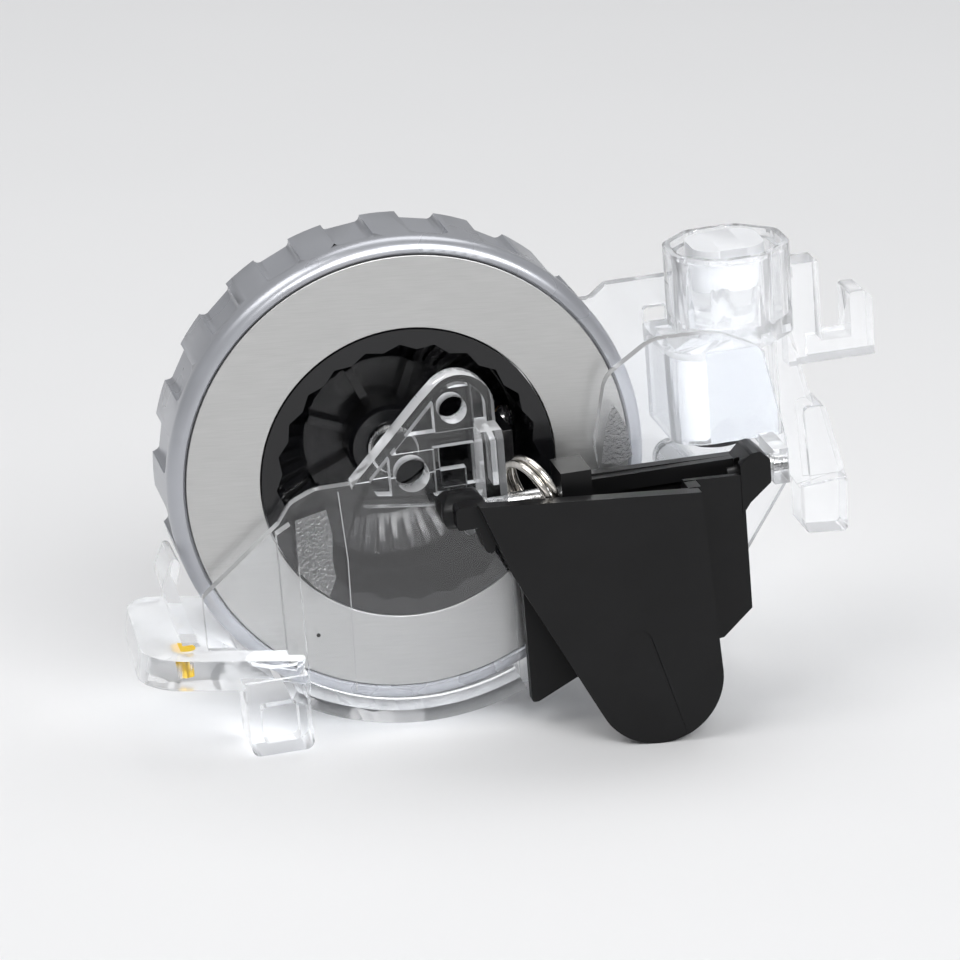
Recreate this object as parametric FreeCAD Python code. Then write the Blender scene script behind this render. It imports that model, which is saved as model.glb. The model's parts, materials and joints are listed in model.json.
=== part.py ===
import FreeCAD, Part
import math
import os

# Thumbwheel drive module: a grip wheel with an internal bevel ring turns on a steel axle
# between two clear mouldings and drives a small inclined pinion.  A sprung black paddle
# hangs on the right, a light guide tower stands behind it.
#
# Working frame, millimetres: origin on the wheel axis in the plane of the wheel's front
# face, +Y into the wheel, +X towards the light tower, +Z up along the module's own side.
# Every node is finally leaned about the wheel axis, as the module rests on its foot and
# on the tip of the paddle, and moved so that the ear's screw hole is the origin.

V = FreeCAD.Vector
Y_DIR = V(0, 1, 0)

# resting attitude
LEAN = 4.5
FLOOR_Z = -27.5

# wheel
WHEEL_R = 25.0
WHEEL_DEPTH = 11.0
SHOULDER_R = 1.7
RIM_INNER_R = 21.8
WEB_FRONT, WEB_BACK = 0.9, 2.9
DISC_OUTER_R, DISC_GAP = 23.2, 0.12
FLUTES = 20
FLUTE_WIDTH, FLUTE_DEPTH, FLUTE_START, FLUTE_PHASE = 4.1, 0.8, 2.2, 7.0
INSERT_R = 15.4
DETENTS = 24
DETENT_BORE_R, NOTCH_R, NOTCH_HALF, DETENT_PHASE = 13.2, 13.9, 1.55, -0.6
DETENT_DEPTH = 8.0
HUB_R, HUB_FRONT, HUB_BORE_R = 4.5, 8.8, 2.4
FLOOR_FRONT, FLOOR_BACK = 12.9, 13.5
RECESS_RIBS = 8

# bevel pair: cone angles about each part's own axis, distances measured from the common apex
RING_TEETH, PINION_TEETH = 44, 14
APEX_Y = 16.75
RING_CONE, RING_ADDENDUM, RING_DEDENDUM = 63.5, 1.7, 2.5
PINION_CONE = math.degrees(math.asin(math.sin(math.radians(RING_CONE)) * PINION_TEETH / RING_TEETH))
PINION_ADDENDUM, PINION_DEDENDUM = 1.5, 2.6
CONE_OUTER, CONE_INNER, FACE_GAP = 13.6, 10.1, 0.15
SHAFT_TILT = RING_CONE - PINION_CONE
PINION_SIDE = 12.0
SHAFT_R = 0.75
BUSH_FAR, BUSH_NEAR = 15.8, 13.95

# axle
AXLE_R, RUN_GAP = 1.5, 0.05
BUSH_FRONT = 8.6

# clear mouldings
WALL = 1.2
PLATE_FRONT, PLATE_BACK = -2.5, -1.3
GUARD_INNER_R, GUARD_OUTER_R = 25.4, 26.4
REAR_FRONT, REAR_BACK = 14.0, 15.4
EAR_FRONT, EAR_BACK = -4.1, -1.6
EAR_HOLE = (4.3, 7.5)
EAR_HOLE_R = 1.45
PEG_HOLE = (-0.4, 1.1)
PEG_HOLE_R = 1.75
TOWER_AT = (37.1, 8.0)
TOWER_R, TOWER_TOP, TOWER_CORNER = 6.9, 17.3, 2.6
GUIDE_R = 3.4
SCREW_AT = ((22.6, -16.8), (31.5, -8.0))

# paddle
HINGE_Y, HINGE_Z = -6.4, -2.3
HINGE_R = 0.9
PADDLE_FRONT, PADDLE_WALL = -11.5, 1.6
POST_FRONT = -7.9
TIP_AT, TIP_R = (22.2, -22.6), 6.8


def box(x, y, z):
    """Block between two values on each axis."""
    return Part.makeBox(x[1] - x[0], y[1] - y[0], z[1] - z[0], V(x[0], y[0], z[0]))


def rod_y(x, z, radius, y):
    return Part.makeCylinder(radius, y[1] - y[0], V(x, y[0], z), Y_DIR)


def rod_x(y, z, radius, x):
    return Part.makeCylinder(radius, x[1] - x[0], V(x[0], y, z), V(1, 0, 0))


def rod_z(x, y, radius, z):
    return Part.makeCylinder(radius, z[1] - z[0], V(x, y, z[0]), V(0, 0, 1))


def rounded_wire(corners):
    """Closed wire through corners (point, radius), each corner an arc tangent to its sides."""
    edges = []
    ends = []
    count = len(corners)
    for i, (point, radius) in enumerate(corners):
        before = (corners[i - 1][0] - point).normalize()
        after = (corners[(i + 1) % count][0] - point).normalize()
        if radius <= 0:
            ends.append((point, point, None))
            continue
        half = before.getAngle(after) / 2
        reach = radius / math.tan(half)
        middle = (before + after).normalize() * (radius / math.sin(half) - radius)
        ends.append((point + before * reach, point + after * reach, point + middle))
    for i, (start, stop, middle) in enumerate(ends):
        if middle is not None:
            edges.append(Part.Arc(start, middle, stop).toShape())
        following = ends[(i + 1) % count][0]
        if (following - stop).Length > 1e-6:
            edges.append(Part.LineSegment(stop, following).toShape())
    return Part.Wire(edges)


def prism(outline, y):
    """Plate in the XZ plane: outline holds (x, z) or (x, z, corner radius)."""
    corners = [(V(p[0], y[0], p[1]), p[2] if len(p) > 2 else 0) for p in outline]
    return Part.Face(rounded_wire(corners)).extrude(V(0, y[1] - y[0], 0))


def slab(outline, z):
    """Plate in the XY plane: outline holds (x, y) or (x, y, corner radius)."""
    corners = [(V(p[0], p[1], z[0]), p[2] if len(p) > 2 else 0) for p in outline]
    return Part.Face(rounded_wire(corners)).extrude(V(0, 0, z[1] - z[0]))


def turned(profile):
    """Solid of revolution about the wheel axis from (radius, y) points."""
    points = [V(r, y, 0) for r, y in profile]
    face = Part.Face(Part.makePolygon(points + points[:1]))
    return face.revolve(V(0, 0, 0), Y_DIR, 360)


def fuse(shapes):
    body = shapes[0]
    if len(shapes) > 1:
        body = body.multiFuse(shapes[1:])
    return body.removeSplitter()


def about_wheel(shape, degrees):
    """Copy turned about the wheel axis, from +X towards +Z."""
    copy = shape.copy()
    copy.rotate(V(0, 0, 0), Y_DIR, -degrees)
    return copy


def around(shape, count, first=0.0):
    return [about_wheel(shape, first + i * 360.0 / count) for i in range(count)]


# ---------------------------------------------------------------- wheel

def grip_ring():
    front, back = WEB_FRONT, WEB_BACK
    lip = DISC_OUTER_R + DISC_GAP
    outline = [V(INSERT_R + DISC_GAP, front, 0), V(lip, front, 0), V(lip, 0.25, 0), V(lip + 0.25, 0, 0)]
    shoulder_start = V(WHEEL_R - SHOULDER_R + 0.2, 0, 0)
    shoulder_end = V(WHEEL_R, SHOULDER_R, 0)
    bulge = SHOULDER_R * math.sqrt(0.5)
    shoulder_mid = V(WHEEL_R - SHOULDER_R + bulge + 0.06, SHOULDER_R - bulge, 0)
    rest = [shoulder_end, V(WHEEL_R, WHEEL_DEPTH - 0.4, 0), V(WHEEL_R - 0.4, WHEEL_DEPTH, 0),
            V(RIM_INNER_R, WHEEL_DEPTH, 0), V(RIM_INNER_R, back, 0), V(INSERT_R + DISC_GAP, back, 0), outline[0]]
    edges = list(Part.makePolygon(outline + [shoulder_start]).Edges)
    edges.append(Part.Arc(shoulder_start, shoulder_mid, shoulder_end).toShape())
    edges += Part.makePolygon(rest).Edges
    ring = Part.Face(Part.Wire(edges)).revolve(V(0, 0, 0), Y_DIR, 360)
    half = FLUTE_WIDTH / 2
    floor = WHEEL_R - FLUTE_DEPTH
    pocket = slab([(-half, FLUTE_START, 1.3), (half, FLUTE_START, 1.3), (half, WHEEL_DEPTH + 1), (-half, WHEEL_DEPTH + 1)],
                  (floor, WHEEL_R + 1))
    low_edges = [e for e in pocket.Edges if e.BoundBox.ZMax < floor + 0.01 and e.BoundBox.YMin < WHEEL_DEPTH]
    pocket = pocket.makeFillet(0.6, low_edges)
    return ring.cut(Part.makeCompound(around(pocket, FLUTES, FLUTE_PHASE)))


def face_disc():
    return turned([(INSERT_R + DISC_GAP, 0.1), (DISC_OUTER_R, 0.1), (DISC_OUTER_R, WEB_FRONT), (INSERT_R + DISC_GAP, WEB_FRONT)])


def on_cone(distance, half_angle):
    """(radius, y) of a point at a distance from the apex, on a cone about Y that opens forwards."""
    angle = math.radians(half_angle)
    return distance * math.sin(angle), APEX_Y - distance * math.cos(angle)


def tooth(outer, inner, root_cone, tip_cone, root_half, tip_half):
    """Bevel tooth that tapers towards the apex; the half widths are at the outer end."""
    wires = []
    for distance in (outer, inner):
        k = distance / outer
        root = on_cone(distance, root_cone)
        tip = on_cone(distance, tip_cone)
        corners = [V(root[0], root[1], root_half * k), V(tip[0], tip[1], tip_half * k),
                   V(tip[0], tip[1], -tip_half * k), V(root[0], root[1], -root_half * k)]
        wires.append(Part.makePolygon(corners + corners[:1]))
    return Part.makeLoft(wires, True, True)


def ring_profile():
    """Half section of the black insert without detents and teeth."""
    wall_r = DETENT_BORE_R - 0.1
    root_outer = on_cone(CONE_OUTER + 0.1, RING_CONE + RING_DEDENDUM)
    root_inner = on_cone(CONE_INNER - 0.1, RING_CONE + RING_DEDENDUM)
    return [(INSERT_R, 0.0), (INSERT_R, 8.6), (14.5, 9.4), (13.9, 11.6), (10.6, FLOOR_BACK), (HUB_BORE_R, FLOOR_BACK),
            (HUB_BORE_R, HUB_FRONT), (HUB_R - 0.4, HUB_FRONT), (HUB_R, HUB_FRONT + 0.4), (HUB_R, FLOOR_FRONT),
            (root_inner[0] - 0.5, FLOOR_FRONT), root_inner, root_outer, (wall_r, root_outer[1]),
            (wall_r, DETENT_DEPTH), (DETENT_BORE_R, DETENT_DEPTH), (DETENT_BORE_R, 0.0)]


def ring_tooth():
    """Tooth of the bevel ring with the rib that joins its outer end to the detent wall."""
    root_cone = RING_CONE + RING_DEDENDUM + 0.8
    tip_cone = RING_CONE - RING_ADDENDUM
    body = tooth(CONE_OUTER, CONE_INNER, root_cone, tip_cone, 0.5, 0.36)
    tip = on_cone(CONE_OUTER, tip_cone)
    root = on_cone(CONE_OUTER, root_cone)
    points = [V(DETENT_BORE_R + 0.1, DETENT_DEPTH, 0), V(tip[0], tip[1], 0), V(root[0], root[1], 0),
              V(DETENT_BORE_R + 0.1, root[1], 0)]
    rib = Part.Face(Part.makePolygon(points + points[:1])).extrude(V(0, 0, 0.72))
    rib.translate(V(0, 0, -0.36))
    return body.fuse(rib)


def gear_insert():
    """Detent ring, internal bevel ring and ribbed hub, moulded in one."""
    body = turned(ring_profile())
    base_r = DETENT_BORE_R - 0.6
    notch = prism([(NOTCH_R, 0.0, 0.3), (base_r, NOTCH_HALF * 2), (base_r, -NOTCH_HALF * 2)], (-1, DETENT_DEPTH))
    body = body.cut(Part.makeCompound(around(notch, DETENTS, DETENT_PHASE)))
    teeth = around(ring_tooth(), RING_TEETH, PINION_SIDE + 180.0 / RING_TEETH)
    rib = box((HUB_R - 0.2, 8.8), (11.5, FLOOR_FRONT + 0.1), (-0.45, 0.45))
    return body.multiFuse(teeth + around(rib, RECESS_RIBS, 22.5))


def hub_bush():
    outer = rod_y(0, 0, HUB_BORE_R, (BUSH_FRONT, FLOOR_BACK + 0.2))
    return outer.cut(rod_y(0, 0, AXLE_R + RUN_GAP, (0, 20)))


# ---------------------------------------------------------------- axle, fixed

def wheel_axle():
    """Steel pin: journal, flange against the rear plate and a reduced front end."""
    journal = rod_y(0, 0, AXLE_R, (8.2, REAR_BACK + 0.6))
    nose = rod_y(0, 0, 1.0, (7.6, 8.2))
    return fuse([journal, nose])


def axle_washer():
    return rod_y(0, 0, 2.6, (8.22, 8.52)).cut(rod_y(0, 0, AXLE_R + 0.02, (8, 9)))


def axle_cap():
    """Push-on retaining cap with a domed face."""
    cap = rod_y(0, 0, 2.3, (7.3, 8.2))
    dome = Part.makeSphere(4.2, V(0, 11.3, 0)).common(rod_y(0, 0, 2.3, (7.0, 7.4)))
    return fuse([cap, dome]).cut(rod_y(0, 0, 1.02, (7.48, 9)))


# ---------------------------------------------------------------- pinion

def to_pinion_axis(shape):
    """Take a shape built about the wheel axis, apex at y = APEX_Y, to the pinion's axis."""
    copy = shape.copy()
    copy.rotate(V(0, APEX_Y, 0), V(0, 0, 1), SHAFT_TILT)
    return about_wheel(copy, PINION_SIDE)


def shaft_rod(radius, near, far):
    """Rod about the wheel axis between two distances from the apex."""
    return rod_y(0, 0, radius, (APEX_Y - far, APEX_Y - near))


def bevel_pinion():
    root_cone = PINION_CONE - PINION_DEDENDUM
    tip_cone = PINION_CONE + PINION_ADDENDUM
    outer, inner = CONE_OUTER - FACE_GAP, CONE_INNER + FACE_GAP
    wide_r, front = on_cone(outer, root_cone)
    narrow_r, back = on_cone(inner, root_cone)
    core = Part.makeCone(wide_r, narrow_r, back - front, V(0, front, 0), Y_DIR)
    pinion_tooth = tooth(outer, inner, root_cone - 1.0, tip_cone, 0.5, 0.15)
    hub = shaft_rod(2.0, APEX_Y - front - 0.1, BUSH_NEAR - 0.15)
    body = core.multiFuse(around(pinion_tooth, PINION_TEETH) + [hub])
    return to_pinion_axis(body.cut(shaft_rod(SHAFT_R, 5, 30)))


def pinion_shaft():
    return to_pinion_axis(shaft_rod(SHAFT_R, CONE_INNER - 0.9, BUSH_FAR + 0.9))


def shaft_collar():
    ring = shaft_rod(1.3, BUSH_FAR + 0.15, BUSH_FAR + 0.65)
    return to_pinion_axis(ring.cut(shaft_rod(SHAFT_R, 12, 30)))


def pinion_bush():
    sleeve = shaft_rod(1.25, BUSH_NEAR, BUSH_FAR)
    return to_pinion_axis(sleeve.cut(shaft_rod(SHAFT_R + RUN_GAP, 10, 30)))


def pinion_carrier():
    """Black bracket on the ear post that holds the pinion's bush."""
    sleeve = to_pinion_axis(shaft_rod(1.95, BUSH_NEAR + 0.05, BUSH_FAR - 0.05))
    foot_block = box((6.4, 10.8), (EAR_BACK, 0.6), (-0.2, 3.6))
    strut = box((8.6, 10.8), (0.0, 6.4), (0.9, 3.5))
    bore = to_pinion_axis(shaft_rod(1.25, 10, 30))
    gear_room = to_pinion_axis(shaft_rod(4.7, 8, BUSH_NEAR + 0.05))
    collar_room = to_pinion_axis(shaft_rod(1.6, BUSH_FAR - 0.05, 18.5))
    return fuse([sleeve, foot_block, strut]).cut(bore).cut(gear_room).cut(collar_room)


def coil(radius, wire, pitch, height):
    """Helical wire about +Z from the origin, with plain ends."""
    path = Part.makeHelix(pitch, height, radius)
    section = Part.Wire(Part.makeCircle(wire / 2, V(radius, 0, 0), V(0, 1, 0)))
    return Part.Wire(path.Edges).makePipeShell([section], True, True)


# ---------------------------------------------------------------- front moulding

def ring_sector(inner, outer, y, start, stop):
    """Part of a tube about the wheel axis between two angles from +X towards +Z."""
    solid = Part.makeCylinder(outer, y[1] - y[0], V(0, y[0], 0), Y_DIR, stop - start)
    solid = solid.cut(rod_y(0, 0, inner, (y[0] - 1, y[1] + 1)))
    lowest = min(solid.Vertexes, key=lambda v: math.atan2(v.Z, v.X))
    angle = math.degrees(math.atan2(lowest.Z, lowest.X))
    return about_wheel(solid, start - angle)


def front_wall():
    """Flat clear wall before the lower half of the wheel, with the arch at its right."""
    left = [(-22.9, -9.3, 0.8), (-14.4, -2.6, 0.6), (-13.0, -0.6, 2.0), (-10.4, 0.5, 3.0), (5.5, 0.6),
            (5.5, -5.4, 1.0), (12.5, -5.4)]
    behind_paddle = [(12.5, -7.6), (20.2, -7.6, 1.5)]
    arch = [(19.2, 1.0, 2.0), (20.8, 8.0, 3.0), (26.0, 11.3, 4.0), (33.0, 11.1, 6.0), (37.6, 8.8, 2.5), (39.6, -1.4, 1.0),
            (39.6, -6.0, 1.0), (33.5, -15.0, 2.0), (22.0, -20.6, 2.0), (10.4, -20.6)]
    bottom = [(10.4, -24.0), (0.0, -25.6), (-14.6, -21.4), (-22.9, -17.0, 1.5)]
    return prism(left + behind_paddle + arch + bottom, (PLATE_FRONT, PLATE_BACK))


def guard_trough():
    """Curved wall under the wheel and the thicker flange along its front edge."""
    shell = ring_sector(GUARD_INNER_R, GUARD_OUTER_R, (PLATE_BACK, REAR_FRONT), 236, 292)
    flange = ring_sector(GUARD_INNER_R - 1.6, GUARD_OUTER_R, (PLATE_FRONT - 0.5, PLATE_BACK), 236, 292)
    return fuse([shell, flange])


def side_ribs():
    """Square rib with a chamfered head at the left of the window, low rib at its right."""
    left = prism([(-14.9, -3.2), (-13.4, -2.4), (-12.9, -3.4), (-12.9, -20.6), (-14.9, -20.6)], (PLATE_FRONT - 1.3, PLATE_FRONT))
    right = box((9.4, 10.4), (PLATE_FRONT - 0.3, PLATE_FRONT), (-23.6, -8.0))
    return [left, right]


def tab():
    """Rounded slab that reaches out at the lower left, tilted a little."""
    plate = slab([(-30.2, -5.6, 4.0), (-13.2, -5.6, 1.0), (-13.2, 1.0), (-19.5, REAR_FRONT), (-29.2, REAR_FRONT, 4.0)], (-3.2, 0))
    plate.rotate(V(-22, 0, 0), Y_DIR, 9.0)
    plate.translate(V(0, 0, -15.2))
    return plate.cut(rod_y(0, 0, GUARD_INNER_R, (PLATE_BACK, 20)))


def side_strap():
    """Bent strap that stands on the slab outside the wheel."""
    outer = [(-25.4, -4.6, 0.4), (-26.8, -7.8, 1.4), (-24.9, -16.9, 3.4), (-13.2, -20.4)]
    inner = [(-13.6, -19.0), (-23.4, -15.7, 2.2), (-25.4, -8.0, 0.8), (-24.7, -5.6, 0.4)]
    band = prism(outer + inner, (PLATE_BACK, 4.6))
    return band.cut(rod_y(0, 0, GUARD_INNER_R, (0, 20)))


def foot():
    """Square foot with a shallow pocket in its front."""
    block = prism([(-19.9, -26.1, 0.9), (-13.4, -26.1, 0.9), (-13.4, -18.0), (-19.9, -18.0)], (-6.0, -0.4))
    pocket = prism([(-18.6, -24.8, 0.6), (-14.7, -24.8, 0.6), (-14.7, -20.8, 0.6), (-18.6, -20.8, 0.6)], (-6.1, -4.2))
    return block.cut(pocket)


def ear():
    """Triangular ear: rim, recessed panel, two holes, ribs and the post on its right."""
    outline = [(-6.9, 0.7, 0.5), (1.0, 8.8, 2.0), (4.9, 12.4, 3.4), (8.6, 9.0, 3.0), (8.6, -3.4), (-5.6, -1.6, 0.5)]
    panel = [(-4.9, 1.0, 0.4), (1.7, 7.9, 1.8), (4.9, 11.2, 2.5), (7.7, 8.5, 2.2), (7.7, -2.3), (-4.3, -0.5, 0.4)]
    body = prism(outline, (EAR_FRONT, EAR_BACK))
    body = body.cut(prism(panel, (EAR_FRONT - 0.1, EAR_FRONT + 1.5)))
    boss = box((2.3, 6.4), (EAR_FRONT, EAR_BACK), (5.3, 9.9))
    frame = box((-2.7, 2.0), (EAR_FRONT, EAR_BACK), (-1.4, 3.6))
    bar = box((-1.9, 8.0), (EAR_FRONT + 0.3, EAR_BACK), (3.6, 5.3))
    window = prism([(2.8, -1.2, 0.4), (6.6, -1.2, 0.4), (6.6, 3.4, 0.4), (2.8, 3.4, 0.4)], (EAR_FRONT - 1, EAR_BACK + 1))
    return fuse([body, boss, frame, bar]).cut(window)


def hinge_post():
    """Slotted post beside the ear that carries the paddle's left hinge pin."""
    post = box((6.3, 8.5), (POST_FRONT, EAR_BACK), (-3.4, 5.8))
    nose = box((6.0, 9.0), (POST_FRONT - 1, POST_FRONT + 0.3), (4.4, 7.5))
    nose.rotate(V(8, POST_FRONT, 5.6), V(1, 0, 0), -45)
    slot = box((7.1, 7.7), (POST_FRONT - 1, EAR_FRONT), (0.2, 5.0))
    return post.cut(nose).cut(slot)


def pin_lug():
    """Short lug at the right that carries the paddle's other hinge pin."""
    return prism([(36.6, -4.3), (38.2, -4.3), (38.2, -0.5), (36.6, -0.5)], (HINGE_Y - 1.6, PLATE_FRONT))


def screw_bosses():
    return [rod_y(x, z, 2.1, (PLATE_BACK, REAR_FRONT)) for x, z in SCREW_AT]


def pin_bore():
    return rod_x(HINGE_Y, HINGE_Z, HINGE_R, (-5, 45))


def front_guard():
    stop_pin = rod_y(4.9, -5.3, 0.6, (-5.0, PLATE_FRONT))
    parts = [front_wall(), guard_trough(), tab(), side_strap(), foot(), ear(), hinge_post(), pin_lug(), stop_pin]
    body = fuse(parts + side_ribs() + screw_bosses())
    for x, z in SCREW_AT:
        body = body.cut(rod_y(x, z, 0.9, (5.6, REAR_FRONT + 1)))
    body = body.cut(rod_y(EAR_HOLE[0], EAR_HOLE[1], EAR_HOLE_R, (-9, 0)))
    body = body.cut(rod_y(PEG_HOLE[0], PEG_HOLE[1], PEG_HOLE_R, (-9, 0)))
    body = body.cut(ink_mark_solid())
    return body.cut(pin_bore())


def ink_mark_solid():
    """Yellow plug in a drilled hole in the slab."""
    head = rod_z(-25.4, -1.4, 1.3, (-15.35, -14.6))
    stem = rod_z(-25.4, -1.4, 0.75, (-17.3, -15.3))
    return fuse([head, stem])


def ink_mark():
    return ink_mark_solid().common(tab())


# ---------------------------------------------------------------- rear moulding

def rear_plate():
    outline = [(-20.6, -16.8, 2.0), (-20.6, -5.0, 3.0), (-9.0, 9.5, 4.0), (8.0, 12.5, 4.0), (23.6, 11.2, 1.0),
               (25.4, 12.6, 0.8), (33.0, 12.6), (41.0, 6.0), (41.0, -6.0, 3.0), (26.0, -18.5, 3.0), (12.0, -25.6, 2.0),
               (-8.0, -25.6, 3.0)]
    plate = prism(outline, (REAR_FRONT, REAR_BACK))
    window = prism([(29.3, 5.8, 0.4), (31.9, 5.8, 0.4), (31.9, 9.4, 0.4), (29.3, 9.4, 0.4)], (REAR_FRONT - 1, REAR_BACK + 1))
    hub = rod_y(0, 0, 4.2, (REAR_BACK - 0.1, REAR_BACK + 1.6))
    cradle = rod_y(0, 0, 2.9, (13.85, REAR_FRONT))
    return fuse([plate.cut(window), hub, cradle])


def rear_foot():
    """Foot under the rear plate, cut level with the table."""
    block = box((1.0, 12.0), (11.4, REAR_BACK), (-31.0, -25.0))
    below = box((-60, 60), (-60, 60), (-80, FLOOR_Z))
    below.rotate(V(0, 0, 0), Y_DIR, LEAN)
    return block.cut(below).cut(rod_y(0, 0, GUARD_OUTER_R + 0.05, (0, REAR_FRONT)))


def lamp_housing():
    """Open-bottomed shell behind the arch, its front left corner rounded."""
    outer = slab([(28.2, PLATE_BACK, 3.5), (39.6, PLATE_BACK, 0.6), (39.6, REAR_FRONT), (37.0, REAR_FRONT),
                  (37.0, 11.4), (28.2, 11.4, 1.0)], (-1.2, 8.8))
    inner = slab([(29.4, PLATE_BACK + WALL, 2.3), (38.4, PLATE_BACK + WALL, 0.4), (38.4, 10.2, 0.4), (29.4, 10.2, 0.4)], (-2.0, 7.6))
    return outer.cut(inner)


def octagon(at, radius, z):
    points = []
    for i in range(8):
        angle = math.radians(22.5 + 45 * i)
        points.append((at[0] + radius * math.cos(angle), at[1] + radius * math.sin(angle), TOWER_CORNER))
    return slab(points, z)


def tower():
    """Eight-sided light tower on the housing, hollow from above."""
    outer = octagon(TOWER_AT, TOWER_R, (7.6, TOWER_TOP))
    hollow = octagon(TOWER_AT, TOWER_R - 1.5, (9.4, TOWER_TOP + 1))
    rim = octagon(TOWER_AT, TOWER_R - 0.8, (TOWER_TOP - 0.8, TOWER_TOP + 1))
    return outer.cut(hollow).cut(rim)


def arm():
    """Post beside the tower and the arm that ends in an upturned hook."""
    post = box((43.2, 47.0), (8.0, 11.6), (2.7, 13.8))
    notch = box((42.9, 44.2), (7.0, 12.0), (12.4, 14.0))
    beam = box((46.0, 52.8), (8.0, 12.4), (2.7, 5.0))
    hook = prism([(50.3, 4.6), (52.8, 4.6), (52.8, 9.0, 0.6), (51.9, 9.9, 0.4), (50.3, 9.9, 0.4)], (8.0, 12.4))
    return fuse([post.cut(notch), beam, hook])


def leg():
    """Slanting leg on the right that ends in a square block."""
    bar = prism([(39.0, 8.0), (42.8, 8.0, 1.0), (44.4, 1.0, 2.0), (46.8, -9.8), (43.2, -10.6), (39.8, -4.8), (39.0, -4.8)],
                (5.2, 9.2))
    outer_bar = prism([(43.6, -1.0, 0.6), (46.0, -1.0, 0.6), (48.0, -9.8), (44.0, -9.8)], (4.4, 9.4))
    block = prism([(43.0, -9.6), (47.8, -9.2), (47.6, -15.2, 0.5), (43.0, -14.8, 0.5)], (3.9, 9.0))
    return fuse([bar, outer_bar, block])


def rear_frame():
    body = fuse([rear_plate(), rear_foot(), lamp_housing(), tower(), arm(), leg()])
    for x, z in SCREW_AT:
        body = body.cut(rod_y(x, z, 1.15, (REAR_FRONT - 1, REAR_BACK + 1)))
    body = body.cut(rod_z(TOWER_AT[0], TOWER_AT[1], GUIDE_R + 0.1, (7.0, 9.5)))
    return body.cut(rod_y(0, 0, AXLE_R, (10, 25)))


def lens_block():
    """Clear block inside the housing with a slanted lower face."""
    block = slab([(29.6, 0.1, 2.6), (38.2, 0.1, 0.5), (38.2, 9.6, 0.5), (29.6, 9.6, 0.5)], (-1.1, 7.5))
    wedge = prism([(28.0, -1.2), (39.0, -1.2), (39.0, -0.2), (28.0, -1.1)], (-1, 12))
    return block.cut(wedge)


def light_guide():
    """Round rod that carries light from the lens block to the cap."""
    return rod_z(TOWER_AT[0], TOWER_AT[1], GUIDE_R, (7.5, 14.6))


def diffuser_cap():
    """White rounded cap over the light guide's end."""
    at = TOWER_AT
    half = 3.7
    cap = slab([(at[0] - half - 0.3, at[1] - half, 2.4), (at[0] + half, at[1] - half, 2.4), (at[0] + half, at[1] + half, 2.4),
                (at[0] - half - 0.3, at[1] + half, 2.4)], (13.2, 17.6))
    return cap.cut(rod_z(at[0], at[1], GUIDE_R, (13.0, 14.6)))


def light_seal():
    """Black washer under the lens block."""
    ring = rod_z(33.5, 3.6, 3.2, (-2.3, -0.95))
    return ring.cut(rod_z(33.5, 3.6, 1.6, (-3, 0)))


def frame_screws():
    screws = []
    for x, z in SCREW_AT:
        head = rod_y(x, z, 1.9, (REAR_BACK, REAR_BACK + 1.3))
        shank = rod_y(x, z, 0.9, (6.2, REAR_BACK + 0.1))
        cross = [box((x - 1.2, x + 1.2), (REAR_BACK + 0.5, REAR_BACK + 2), (z - 0.25, z + 0.25)),
                 box((x - 0.25, x + 0.25), (REAR_BACK + 0.5, REAR_BACK + 2), (z - 1.2, z + 1.2))]
        screws.append(fuse([head, shank]).cut(cross[0]).cut(cross[1]))
    return Part.makeCompound(screws)


# ---------------------------------------------------------------- paddle

def paddle_plate():
    """U-shaped front plate with a shallow thumb relief."""
    y = (PADDLE_FRONT, PADDLE_FRONT + PADDLE_WALL)
    left_side = V(0.443, 0, -0.897)
    left_touch = V(TIP_AT[0], 0, TIP_AT[1]) - V(0.897, 0, 0.443) * TIP_R
    bottom = V(TIP_AT[0] + 0.4, 0, TIP_AT[1] - TIP_R)
    right_touch = V(TIP_AT[0] + TIP_R, 0, TIP_AT[1])
    knee = left_touch - left_side * 19.0
    points = [V(4.8, 0, -0.7), V(27.9, 0, -2.6), right_touch]
    edges = [Part.LineSegment(points[0], points[1]).toShape(), Part.LineSegment(points[1], points[2]).toShape()]
    edges.append(Part.Arc(right_touch, bottom, left_touch).toShape())
    edges.append(Part.LineSegment(left_touch, knee).toShape())
    edges.append(Part.LineSegment(knee, points[0]).toShape())
    plate = Part.Face(Part.Wire(edges)).extrude(V(0, y[1] - y[0], 0))
    plate.translate(V(0, y[0], 0))
    relief = prism([(15.8, -31.0), (18.6, -17.8, 1.6), (20.2, -15.6, 1.4), (21.6, -17.4, 1.6), (25.4, -31.0)],
                   (PADDLE_FRONT - 1, PADDLE_FRONT + 0.25))
    relief.rotate(V(20, PADDLE_FRONT + 0.25, -16), V(1, 0, 0), -0.8)
    return plate.cut(relief)


def paddle_shell():
    """Walls behind the front plate: an open-topped pocket with a step at the right."""
    back = prism([(10.0, -7.0, 0.5), (13.4, -4.6), (13.4, -1.4), (33.3, -1.7), (33.4, -17.4), (30.0, -20.4), (15.0, -23.6),
                  (10.8, -25.6, 0.4), (10.1, -25.6, 0.3)], (-4.4, -3.2))
    inner_y = (PADDLE_FRONT + PADDLE_WALL - 0.1, -4.3)
    left = box((16.2, 17.3), inner_y, (-21.0, -2.6))
    side = box((26.9, 28.2), (inner_y[0], -7.4), (-20.6, -2.5))
    step = prism([(26.9, -2.4), (33.3, -2.7), (33.4, -17.4), (30.2, -20.2), (26.9, -20.6)], (-8.0, -6.8))
    right = box((32.2, 33.35), (-6.9, -4.3), (-17.2, -2.6))
    floor = box((16.2, 28.2), inner_y, (-21.4, -20.2))
    return [back, left, side, step, right, floor]


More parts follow.
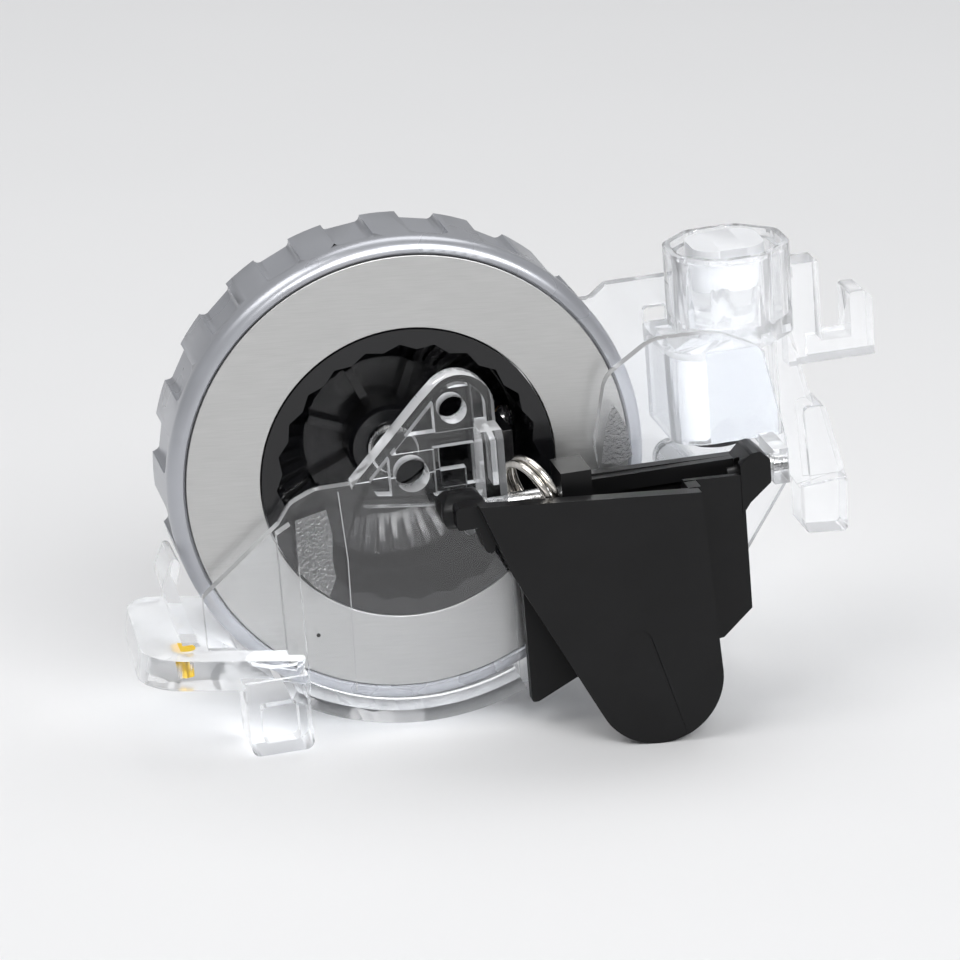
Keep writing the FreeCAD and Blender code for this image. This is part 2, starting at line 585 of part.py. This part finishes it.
def paddle_bosses():
    """Barrel at the left of the pocket, pointed boss at its right, lug and hook finger."""
    barrel = box((14.1, 17.3), (HINGE_Y - 1.7, -3.3), (HINGE_Z - 1.8, 0.4))
    nose = prism([(33.0, -1.7), (34.2, -0.5, 0.6), (35.2, -0.4, 0.6), (36.2, -1.4, 0.4), (36.2, -3.9, 0.4), (33.9, -5.8, 0.4),
                  (33.0, -7.0)], (HINGE_Y - 1.7, -3.6))
    ledge = box((17.0, 33.4), (-5.4, -3.2), (-3.4, -1.7))
    lug = rod_x(HINGE_Y, HINGE_Z, 2.0, (1.4, 6.0)).common(rod_y(3.9, HINGE_Z, 2.35, (-9.0, -4.0)))
    arm_back = prism([(2.6, -1.0, 0.5), (5.9, -1.0), (5.9, -3.4), (2.6, -3.4, 0.5)], (PADDLE_FRONT + PADDLE_WALL - 0.1, -7.0))
    finger = prism([(4.6, -2.6), (5.6, -2.6), (6.5, -5.2), (6.2, -6.3, 0.4), (5.4, -6.1, 0.4), (5.0, -4.6, 0.4)],
                   (PADDLE_FRONT + PADDLE_WALL - 0.1, -7.0))
    return [barrel, nose, ledge, lug, arm_back, finger]


def release_paddle():
    body = fuse([paddle_plate()] + paddle_shell() + paddle_bosses())
    return body.cut(rod_x(HINGE_Y, HINGE_Z, HINGE_R + RUN_GAP, (-5, 45)))


def hinge_pins():
    left = rod_x(HINGE_Y, HINGE_Z, HINGE_R, (2.2, 16.6))
    right = rod_x(HINGE_Y, HINGE_Z, HINGE_R, (33.6, 38.2))
    return Part.makeCompound([left, right])


def torsion_spring():
    """Two turns of wire, cocked on the hinge pin between the post and the barrel."""
    wire, radius, pitch = 0.8, 3.2, 0.95
    turns = 2.0
    spring = coil(radius, wire, pitch, pitch * turns)
    spring.translate(V(0, 0, -pitch * turns / 2))
    spring.rotate(V(0, 0, 0), Y_DIR, 90)
    spring.rotate(V(0, 0, 0), V(0, 0, 1), 20)
    spring.rotate(V(0, 0, 0), Y_DIR, -20)
    spring.translate(V(11.3, HINGE_Y + 0.2, HINGE_Z + 1.0))
    return spring


# ---------------------------------------------------------------- output

NODES = {
    "grip_ring": grip_ring,
    "face_disc": face_disc,
    "gear_insert": gear_insert,
    "hub_bush": hub_bush,
    "wheel_axle": wheel_axle,
    "axle_washer": axle_washer,
    "axle_cap": axle_cap,
    "bevel_pinion": bevel_pinion,
    "pinion_shaft": pinion_shaft,
    "shaft_collar": shaft_collar,
    "pinion_bush": pinion_bush,
    "pinion_carrier": pinion_carrier,
    "front_guard": front_guard,
    "ink_mark": ink_mark,
    "rear_frame": rear_frame,
    "lens_block": lens_block,
    "light_guide": light_guide,
    "diffuser_cap": diffuser_cap,
    "light_seal": light_seal,
    "frame_screws": frame_screws,
    "release_paddle": release_paddle,
    "hinge_pins": hinge_pins,
    "torsion_spring": torsion_spring,
}


def place(shape):
    """Lean the module to its resting attitude and put the ear's screw hole at the origin."""
    placed = shape.copy()
    placed.rotate(V(0, 0, 0), Y_DIR, -LEAN)
    hole = FreeCAD.Rotation(Y_DIR, -LEAN).multVec(V(EAR_HOLE[0], EAR_FRONT, EAR_HOLE[1]))
    placed.translate(hole * -1)
    return placed


def main():
    os.makedirs("parts", exist_ok=True)
    for name, build in NODES.items():
        shape = place(build())
        shape.exportStep("parts/" + name + ".step")
        print(name, "solids", len(shape.Solids), "valid", shape.isValid(), "volume", round(shape.Volume, 1))


main()
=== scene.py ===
"""Thumbwheel drive module on a pale studio floor: finishes, printed details, light and camera."""
import json
import math

import bpy
from mathutils import Matrix, Vector


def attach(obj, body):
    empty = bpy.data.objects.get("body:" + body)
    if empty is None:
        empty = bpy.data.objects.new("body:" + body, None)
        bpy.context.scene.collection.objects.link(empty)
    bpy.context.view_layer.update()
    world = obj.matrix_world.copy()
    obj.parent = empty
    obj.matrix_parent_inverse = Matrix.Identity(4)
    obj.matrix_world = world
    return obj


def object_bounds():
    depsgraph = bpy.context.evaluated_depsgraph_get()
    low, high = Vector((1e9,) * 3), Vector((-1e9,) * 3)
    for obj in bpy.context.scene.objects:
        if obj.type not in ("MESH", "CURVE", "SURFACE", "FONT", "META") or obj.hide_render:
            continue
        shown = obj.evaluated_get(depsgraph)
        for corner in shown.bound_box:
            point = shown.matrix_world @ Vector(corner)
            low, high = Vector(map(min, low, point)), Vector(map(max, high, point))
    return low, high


MM = 0.001
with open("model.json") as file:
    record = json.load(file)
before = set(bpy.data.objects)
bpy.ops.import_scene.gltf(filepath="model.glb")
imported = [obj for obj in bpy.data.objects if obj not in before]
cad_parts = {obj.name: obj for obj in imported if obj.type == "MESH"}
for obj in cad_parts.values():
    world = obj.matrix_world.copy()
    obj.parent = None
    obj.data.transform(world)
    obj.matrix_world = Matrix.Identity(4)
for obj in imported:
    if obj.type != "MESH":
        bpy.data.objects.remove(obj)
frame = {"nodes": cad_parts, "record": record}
cad_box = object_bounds()

# The module leans about the wheel axis; its own frame has its origin on the wheel's front face.
LEAN = math.radians(4.5)
WHEEL = next(Vector(j["pos_m"]) for j in frame["record"]["behaviour"]["joints"] if j["name"] == "wheel_spin")
MODULE = Matrix.Translation(WHEEL) @ Matrix.Rotation(-LEAN, 4, "Y")

# Thin pieces on the clear front wall, in millimetres: how far they stand out of it and reach into it.
WALL_FRONT = -2.5
FLUSH, BEDDED = 0.02, 0.04
SPECK_AT, SPECK_R, SPECK_HEIGHT = (-11.4, -15.2), 0.22, 0.1
EIGHTHS = [math.radians(45 * i) for i in range(8)]

FLOOR_Z, FLOOR_SIZE = cad_box[0][2], 6.0

# Camera: aimed at a point near the middle of the module, from the front left and above.
AIM = Vector((1.7, -4.9, -6.0)) * MM
AZIMUTH, ELEVATION, DISTANCE = math.radians(12.886), math.radians(18.85), 0.455
LENS = 168.75


# ---------------------------------------------------------------- finishes

class Finish:
    """A Principled material with helpers that add its procedural detail."""

    def __init__(self, name, color, roughness, metallic=0.0):
        self.name = name
        self.material = bpy.data.materials.new(name)
        self.material.use_nodes = True
        self.nodes = self.material.node_tree.nodes
        self.links = self.material.node_tree.links
        self.shader = self.nodes["Principled BSDF"]
        self.output = self.nodes["Material Output"]
        self.color = color
        self.set("Base Color", (*color, 1.0))
        self.set("Roughness", roughness)
        self.set("Metallic", metallic)
        self.place = self.nodes.new("ShaderNodeTexCoord").outputs["Object"]

    def set(self, socket, value):
        self.shader.inputs[socket].default_value = value

    def link(self, output, socket):
        self.links.new(output, self.shader.inputs[socket])

    def noise(self, per_metre, detail=3.0, stretch=(1.0, 1.0, 1.0)):
        """Noise in the object's own space; stretch repeats it faster along an axis."""
        mapping = self.nodes.new("ShaderNodeMapping")
        mapping.inputs["Scale"].default_value = stretch
        self.links.new(self.place, mapping.inputs["Vector"])
        noise = self.nodes.new("ShaderNodeTexNoise")
        noise.inputs["Scale"].default_value = per_metre
        noise.inputs["Detail"].default_value = detail
        self.links.new(mapping.outputs["Vector"], noise.inputs["Vector"])
        return noise.outputs["Fac"]

    def span(self, value, low, high, start=0.3, stop=0.7):
        """Value from start to stop, as low to high."""
        node = self.nodes.new("ShaderNodeMapRange")
        node.inputs["From Min"].default_value = start
        node.inputs["From Max"].default_value = stop
        node.inputs["To Min"].default_value = low
        node.inputs["To Max"].default_value = high
        self.links.new(value, node.inputs["Value"])
        return node.outputs["Result"]

    def mottle(self, value, change):
        """Base colour that drifts by this share either way."""
        mix = self.nodes.new("ShaderNodeMix")
        mix.data_type = "RGBA"
        mix.inputs[6].default_value = (*(c * (1 - change) for c in self.color), 1.0)
        mix.inputs[7].default_value = (*(min(1.0, c * (1 + change)) for c in self.color), 1.0)
        self.links.new(self.span(value, 0.0, 1.0), mix.inputs[0])
        self.link(mix.outputs[2], "Base Color")

    def bump(self, value, strength, depth_mm):
        node = self.nodes.new("ShaderNodeBump")
        node.inputs["Strength"].default_value = strength
        node.inputs["Distance"].default_value = depth_mm * MM
        self.links.new(value, node.inputs["Height"])
        self.link(node.outputs["Normal"], "Normal")
        return node

    def math(self, operation, *values):
        node = self.nodes.new("ShaderNodeMath")
        node.operation = operation
        for i, value in enumerate(values):
            if isinstance(value, (int, float)):
                node.inputs[i].default_value = value
            else:
                self.links.new(value, node.inputs[i])
        return node.outputs[0]


def moulded(name, color, roughness, grain_mm=0.25, depth_mm=0.01, change=0.06):
    """Opaque moulded plastic with a fine grain and a slightly uneven gloss."""
    finish = Finish(name, color, roughness)
    finish.mottle(finish.noise(180.0), change)
    finish.link(finish.span(finish.noise(90.0), roughness - 0.05, roughness + 0.06), "Roughness")
    finish.bump(finish.noise(1000.0 / grain_mm, 4.0), 0.35, depth_mm)
    return finish


def clear_plastic(name, roughness=0.02, clarity=0.87):
    """Clear moulded plastic: bends light, and lets lamp light through to what is behind it."""
    finish = Finish(name, (0.985, 0.99, 1.0), roughness)
    finish.set("Transmission Weight", clarity)
    finish.set("IOR", 1.49)
    finish.bump(finish.noise(70.0, 2.0), 0.2, 0.03)
    finish.link(finish.span(finish.noise(45.0, 4.0), roughness, roughness + 0.04, 0.45, 0.7), "Roughness")
    through = finish.nodes.new("ShaderNodeBsdfTransparent")
    through.inputs["Color"].default_value = (0.86, 0.87, 0.88, 1.0)
    rays = finish.nodes.new("ShaderNodeLightPath")
    mix = finish.nodes.new("ShaderNodeMixShader")
    finish.links.new(rays.outputs["Is Shadow Ray"], mix.inputs[0])
    finish.links.new(finish.shader.outputs[0], mix.inputs[1])
    finish.links.new(through.outputs[0], mix.inputs[2])
    finish.links.new(mix.outputs[0], finish.output.inputs["Surface"])
    return finish


def cloud_edges(finish, edge_clarity=0.62):
    """The big flat faces across Y stay clear, and the narrow faces round them scatter some light."""
    parts = finish.nodes.new("ShaderNodeSeparateXYZ")
    finish.links.new(finish.nodes["Texture Coordinate"].outputs["Normal"], parts.inputs[0])
    facing = finish.math("ABSOLUTE", parts.outputs["Y"])
    finish.link(finish.span(facing, edge_clarity, 1.0, 0.3, 0.9), "Transmission Weight")


def frosted():
    """Etched patch on the wall: rough, with a glittering grain."""
    finish = Finish("etched_patch", (0.6, 0.6, 0.61), 0.3)
    finish.set("Transmission Weight", 0.9)
    finish.set("IOR", 1.49)
    finish.bump(finish.noise(2600.0, 4.0), 1.0, 0.25)
    return finish.material


def metal(name, color, roughness, stretch=(1.0, 1.0, 1.0), per_metre=2500.0, depth_mm=0.004):
    """Metal with a fine grain, drawn out along an axis where stretch is small."""
    finish = Finish(name, color, roughness, metallic=1.0)
    grain = finish.noise(per_metre, 4.0, stretch)
    finish.mottle(grain, 0.05)
    finish.link(finish.span(grain, roughness - 0.05, roughness + 0.07), "Roughness")
    finish.bump(grain, 0.3, depth_mm)
    return finish


def finishes():
    """Every finish on the CAD nodes, by name."""
    grip = moulded("grip_plastic", (0.40, 0.41, 0.44), 0.3, 0.12, 0.005, 0.03)
    grip.set("Metallic", 0.5)
    grip.set("Coat Weight", 0.25)
    grip.set("Coat Roughness", 0.3)
    disc = metal("face_aluminium", (0.46, 0.46, 0.455), 0.4, (0.06, 1.0, 1.6), 5200.0, 0.004)
    insert = moulded("insert_black", (0.006, 0.006, 0.007), 0.17, 0.4, 0.003)
    insert.set("Specular IOR Level", 0.42)
    bush = metal("bush_bronze", (0.55, 0.38, 0.18), 0.38)
    steel = metal("steel", (0.6, 0.6, 0.6), 0.25, (1.0, 1.0, 0.2))
    wire = metal("spring_steel", (0.72, 0.69, 0.64), 0.2)
    clear = clear_plastic("clear_plastic", clarity=0.84)
    lens = clear_plastic("clear_lens", clarity=0.72)
    front_clear = clear_plastic("clear_front")
    cloud_edges(front_clear)
    ink = moulded("yellow_ink", (0.85, 0.56, 0.012), 0.4, 0.5, 0.01)
    white = moulded("white_diffuser", (0.78, 0.79, 0.81), 0.38, 0.5, 0.006, 0.02)
    white.set("Subsurface Weight", 0.35)
    white.set("Subsurface Radius", (1.5 * MM, 1.5 * MM, 1.6 * MM))
    seal = moulded("seal_rubber", (0.012, 0.012, 0.012), 0.6)
    black = moulded("paddle_black", (0.006, 0.006, 0.0065), 0.36, 0.2, 0.014, 0.15)
    black.set("Specular IOR Level", 0.2)
    made = [grip, disc, insert, bush, steel, wire, clear, lens, front_clear, ink, white, seal, black]
    return {f.name: f.material for f in made}


# Rounding of the moulded and turned edges, in millimetres. The gear teeth keep their sharp edges.
ROUNDING = {
    "grip_ring": 0.25, "face_disc": 0.1,
    "front_guard": 0.14, "rear_frame": 0.16, "lens_block": 0.2,
    "diffuser_cap": 0.7, "release_paddle": 0.45, "light_seal": 0.1, "pinion_carrier": 0.1,
    "frame_screws": 0.12, "axle_cap": 0.1, "wheel_axle": 0.1, "hinge_pins": 0.12,
}


# Nodes whose finish differs a little from the rest of their slot.
OWN_FINISH = {"front_guard": "clear_front", "lens_block": "clear_lens"}


def dress(finish_of):
    """Give every CAD node its slot's finish and soften its edges."""
    for part in frame["record"]["subparts"]:
        node = frame["nodes"][part["node"]]
        node.data.materials.clear()
        node.data.materials.append(finish_of[OWN_FINISH.get(part["node"], part["material_slot"])])
        width = ROUNDING.get(part["node"])
        if width is None:
            continue
        weld = node.modifiers.new("weld", "WELD")
        weld.merge_threshold = 0.002 * MM
        bevel = node.modifiers.new("edges", "BEVEL")
        bevel.width = width * MM
        bevel.segments = 2
        bevel.limit_method = "ANGLE"
        bevel.angle_limit = math.radians(38)
        bevel.harden_normals = True
        bevel.use_clamp_overlap = True


# ---------------------------------------------------------------- small details on the clear wall

def wall_plate(name, outline, proud, material):
    """Thin plate let into the front wall: outline in the module's own x and z, millimetres."""
    count = len(outline)
    front = [(x, WALL_FRONT - proud, z) for x, z in outline]
    back = [(x, WALL_FRONT + BEDDED, z) for x, z in outline]
    faces = [tuple(range(count)), tuple(reversed(range(count, 2 * count)))]
    faces += [(i, i + count, (i + 1) % count + count, (i + 1) % count) for i in range(count)]
    mesh = bpy.data.meshes.new(name)
    mesh.from_pydata([MODULE @ (Vector(c) * MM) for c in front + back], [], faces)
    mesh.materials.append(material)
    mesh.update()
    piece = bpy.data.objects.new(name, mesh)
    bpy.context.scene.collection.objects.link(piece)
    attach(piece, "frame")


def wall_details():
    """Scribed line, dark moulding speck and two etched patches on the clear front wall."""
    groove = moulded("scribe_grey", (0.45, 0.45, 0.46), 0.5).material
    scribed = [(-8.06, 0.0), (-7.96, 0.0), (-7.56, -7.5), (-7.86, -21.9), (-7.96, -21.9), (-7.66, -7.5)]
    wall_plate("scribed_line", scribed, FLUSH, groove)
    speck = moulded("gate_speck", (0.02, 0.02, 0.02), 0.4).material
    ring = [(SPECK_AT[0] + SPECK_R * math.cos(a), SPECK_AT[1] + SPECK_R * math.sin(a)) for a in EIGHTHS]
    wall_plate("gate_dot", ring, SPECK_HEIGHT, speck)
    etched = frosted()
    left = [(-12.7, -2.4), (-9.4, -1.7), (-9.0, -4.5), (-9.2, -7.4),
            (-9.0, -9.2), (-9.9, -11.2), (-11.3, -9.9), (-12.8, -8.0)]
    wall_plate("etched_patch_left", left, FLUSH, etched)
    right = [(19.7, -1.2), (20.3, 2.2), (21.3, 5.2), (22.6, 2.6), (23.1, -0.8), (21.6, -1.6)]
    wall_plate("etched_patch_right", right, FLUSH, etched)


# ---------------------------------------------------------------- studio

def floor():
    bpy.ops.mesh.primitive_plane_add(size=FLOOR_SIZE, location=(0, 0, FLOOR_Z))
    plane = bpy.context.object
    plane.name = "floor"
    paper = Finish("floor_paper", (0.78, 0.78, 0.785), 0.75)
    paper.mottle(paper.noise(9.0), 0.01)
    plane.data.materials.append(paper.material)


def softbox(name, place, width, depth, power):
    """Area lamp at a place, in metres, that faces the module."""
    lamp = bpy.data.lights.new(name, "AREA")
    lamp.shape = "RECTANGLE"
    lamp.size = width
    lamp.size_y = depth
    lamp.energy = power
    holder = bpy.data.objects.new(name, lamp)
    holder.location = place
    holder.rotation_euler = (AIM - Vector(place)).to_track_quat("-Z", "Y").to_euler()
    bpy.context.scene.collection.objects.link(holder)
    return holder


def studio():
    floor()
    softbox("key", (-0.55, -0.25, 0.85), 0.6, 0.45, 4.0)
    softbox("top", (0.15, 0.35, 0.9), 0.8, 0.5, 3.3)
    softbox("front_card", (0.12, -0.62, 0.52), 0.5, 0.3, 2.9).visible_transmission = False
    # A wide, low strip that only shows in gloss: the flats of the lower ring teeth mirror it.
    softbox("tooth_strip", (0.17, -0.70, 0.44), 0.9, 0.13, 7.0).visible_diffuse = False
    world = bpy.data.worlds.new("studio")
    world.use_nodes = True
    world.node_tree.nodes["Background"].inputs["Color"].default_value = (0.92, 0.93, 0.95, 1.0)
    world.node_tree.nodes["Background"].inputs["Strength"].default_value = 0.36
    bpy.context.scene.world = world


def camera():
    level = math.cos(ELEVATION)
    forward = Vector((math.sin(AZIMUTH) * level, math.cos(AZIMUTH) * level, -math.sin(ELEVATION)))
    lens = bpy.data.cameras.new("camera")
    lens.lens = LENS
    lens.sensor_width = 36.0
    lens.clip_start = 0.01
    holder = bpy.data.objects.new("camera", lens)
    holder.location = AIM - forward * DISTANCE
    holder.rotation_euler = forward.to_track_quat("-Z", "Y").to_euler()
    bpy.context.scene.collection.objects.link(holder)
    bpy.context.scene.camera = holder


dress(finishes())
wall_details()
studio()
camera()
bpy.context.scene.view_settings.view_transform = "Standard"
